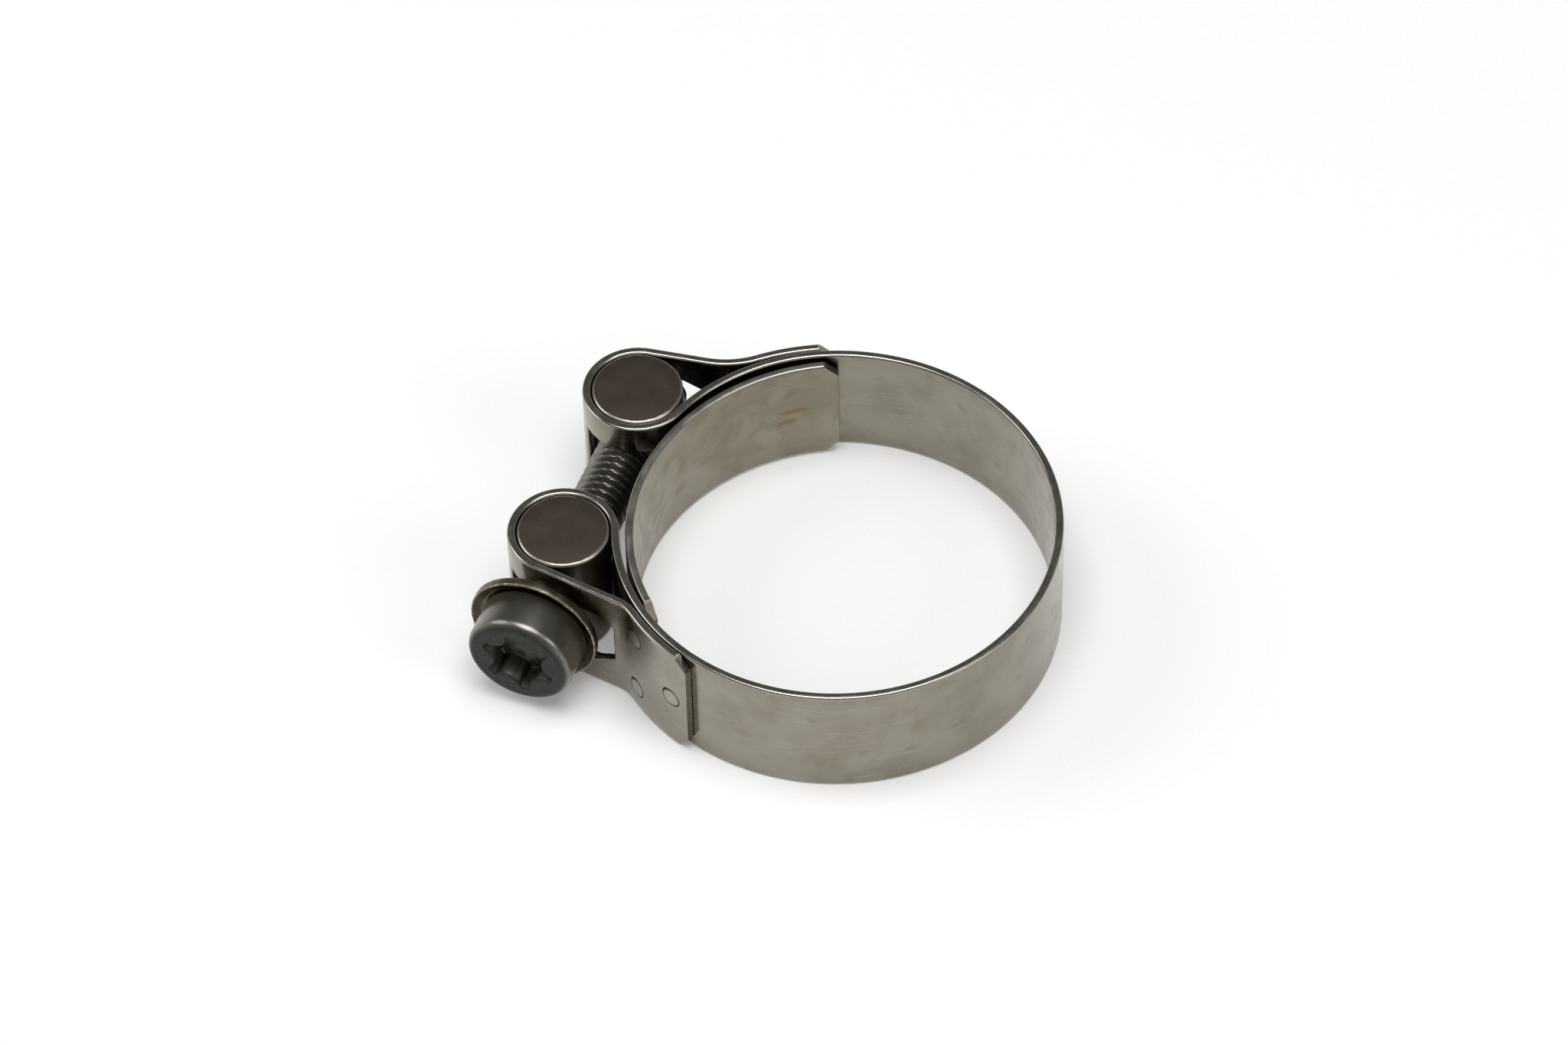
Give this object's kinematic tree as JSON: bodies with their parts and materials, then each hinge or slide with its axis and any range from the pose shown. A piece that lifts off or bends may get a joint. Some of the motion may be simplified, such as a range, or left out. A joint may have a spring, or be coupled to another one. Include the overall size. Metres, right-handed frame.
{
  "type": "hose clamp",
  "caption": "Band hose clamp whose folded ends loop round two barrels, drawn together by a socket-head bolt with a dished washer; a bridge strip closes the gap inside.",
  "frame": {"origin": "centre of the clamp's ring, on the plane of the band's lower edge, which the clamp lies on", "axes": "+Z along the hose, +X from the bolt across the ring, and the bolt runs along +Y with its head at -Y"},
  "size_m": [0.0724, 0.0604, 0.018],
  "materials": {
    "strip": "satin stainless strip with fine scuffs and bright rolled edges",
    "bridge": "duller stainless strip with a faint brown weld tint",
    "barrel": "dark plated steel, bright where the edge is worn",
    "bolt": "dull grey zinc-flake coated steel with a fine grain",
    "washer": "olive to brown yellow-passivated steel",
    "rivet": "flush stainless rivet"
  },
  "bodies": {
    "band_back": {"band_back": "strip"},
    "front_arm": {"front_arm": "strip", "front_rivet_upper": "rivet", "front_rivet_lower": "rivet", "front_rivet_end": "rivet"},
    "rear_arm": {"rear_arm": "strip", "bridge": "bridge", "rear_rivet_upper": "rivet", "rear_rivet_lower": "rivet", "rear_rivet_end": "rivet"},
    "front_barrel": {"front_barrel": "barrel"},
    "rear_barrel": {"rear_barrel": "barrel"},
    "bolt": {"bolt": "bolt"},
    "washer": {"washer": "washer"}
  },
  "joints": [
    {"name": "front_arm_flex", "type": "hinge", "parent": "band_back", "child": "front_arm", "pos_m": [0, -0.02945, 0.009], "axis": [0, 0, -1], "range_deg": [-3.5, 2.9]},
    {"name": "rear_arm_flex", "type": "hinge", "parent": "band_back", "child": "rear_arm", "pos_m": [0, 0.02945, 0.009], "axis": [0, 0, 1], "range_deg": [-3.2, 2.65]},
    {"name": "front_barrel_pivot", "type": "hinge", "parent": "front_arm", "child": "front_barrel", "pos_m": [-0.0332, -0.014, 0.009], "axis": [0, 0, 1], "range_deg": [-3.5, 2.9]},
    {"name": "rear_barrel_pivot", "type": "hinge", "parent": "rear_arm", "child": "rear_barrel", "pos_m": [-0.0332, 0.0124, 0.009], "axis": [0, 0, -1], "range_deg": [-3.2, 2.65]},
    {"name": "washer_spin", "type": "hinge", "parent": "front_barrel", "child": "washer", "pos_m": [-0.0334, -0.0238, 0.009], "axis": [0, 1, 0], "continuous": true},
    {"name": "bolt_turn", "type": "hinge", "parent": "front_barrel", "child": "bolt", "pos_m": [-0.0334, 0, 0.009], "axis": [0, 1, 0], "range_deg": [-1080, 900]}
  ],
  "couplings": [
    {"joint": "front_arm_flex", "follows": "bolt_turn", "ratio": 0.0031366},
    {"joint": "rear_arm_flex", "follows": "bolt_turn", "ratio": 0.002836},
    {"joint": "front_barrel_pivot", "follows": "bolt_turn", "ratio": 0.0031366},
    {"joint": "rear_barrel_pivot", "follows": "bolt_turn", "ratio": 0.002836}
  ]
}
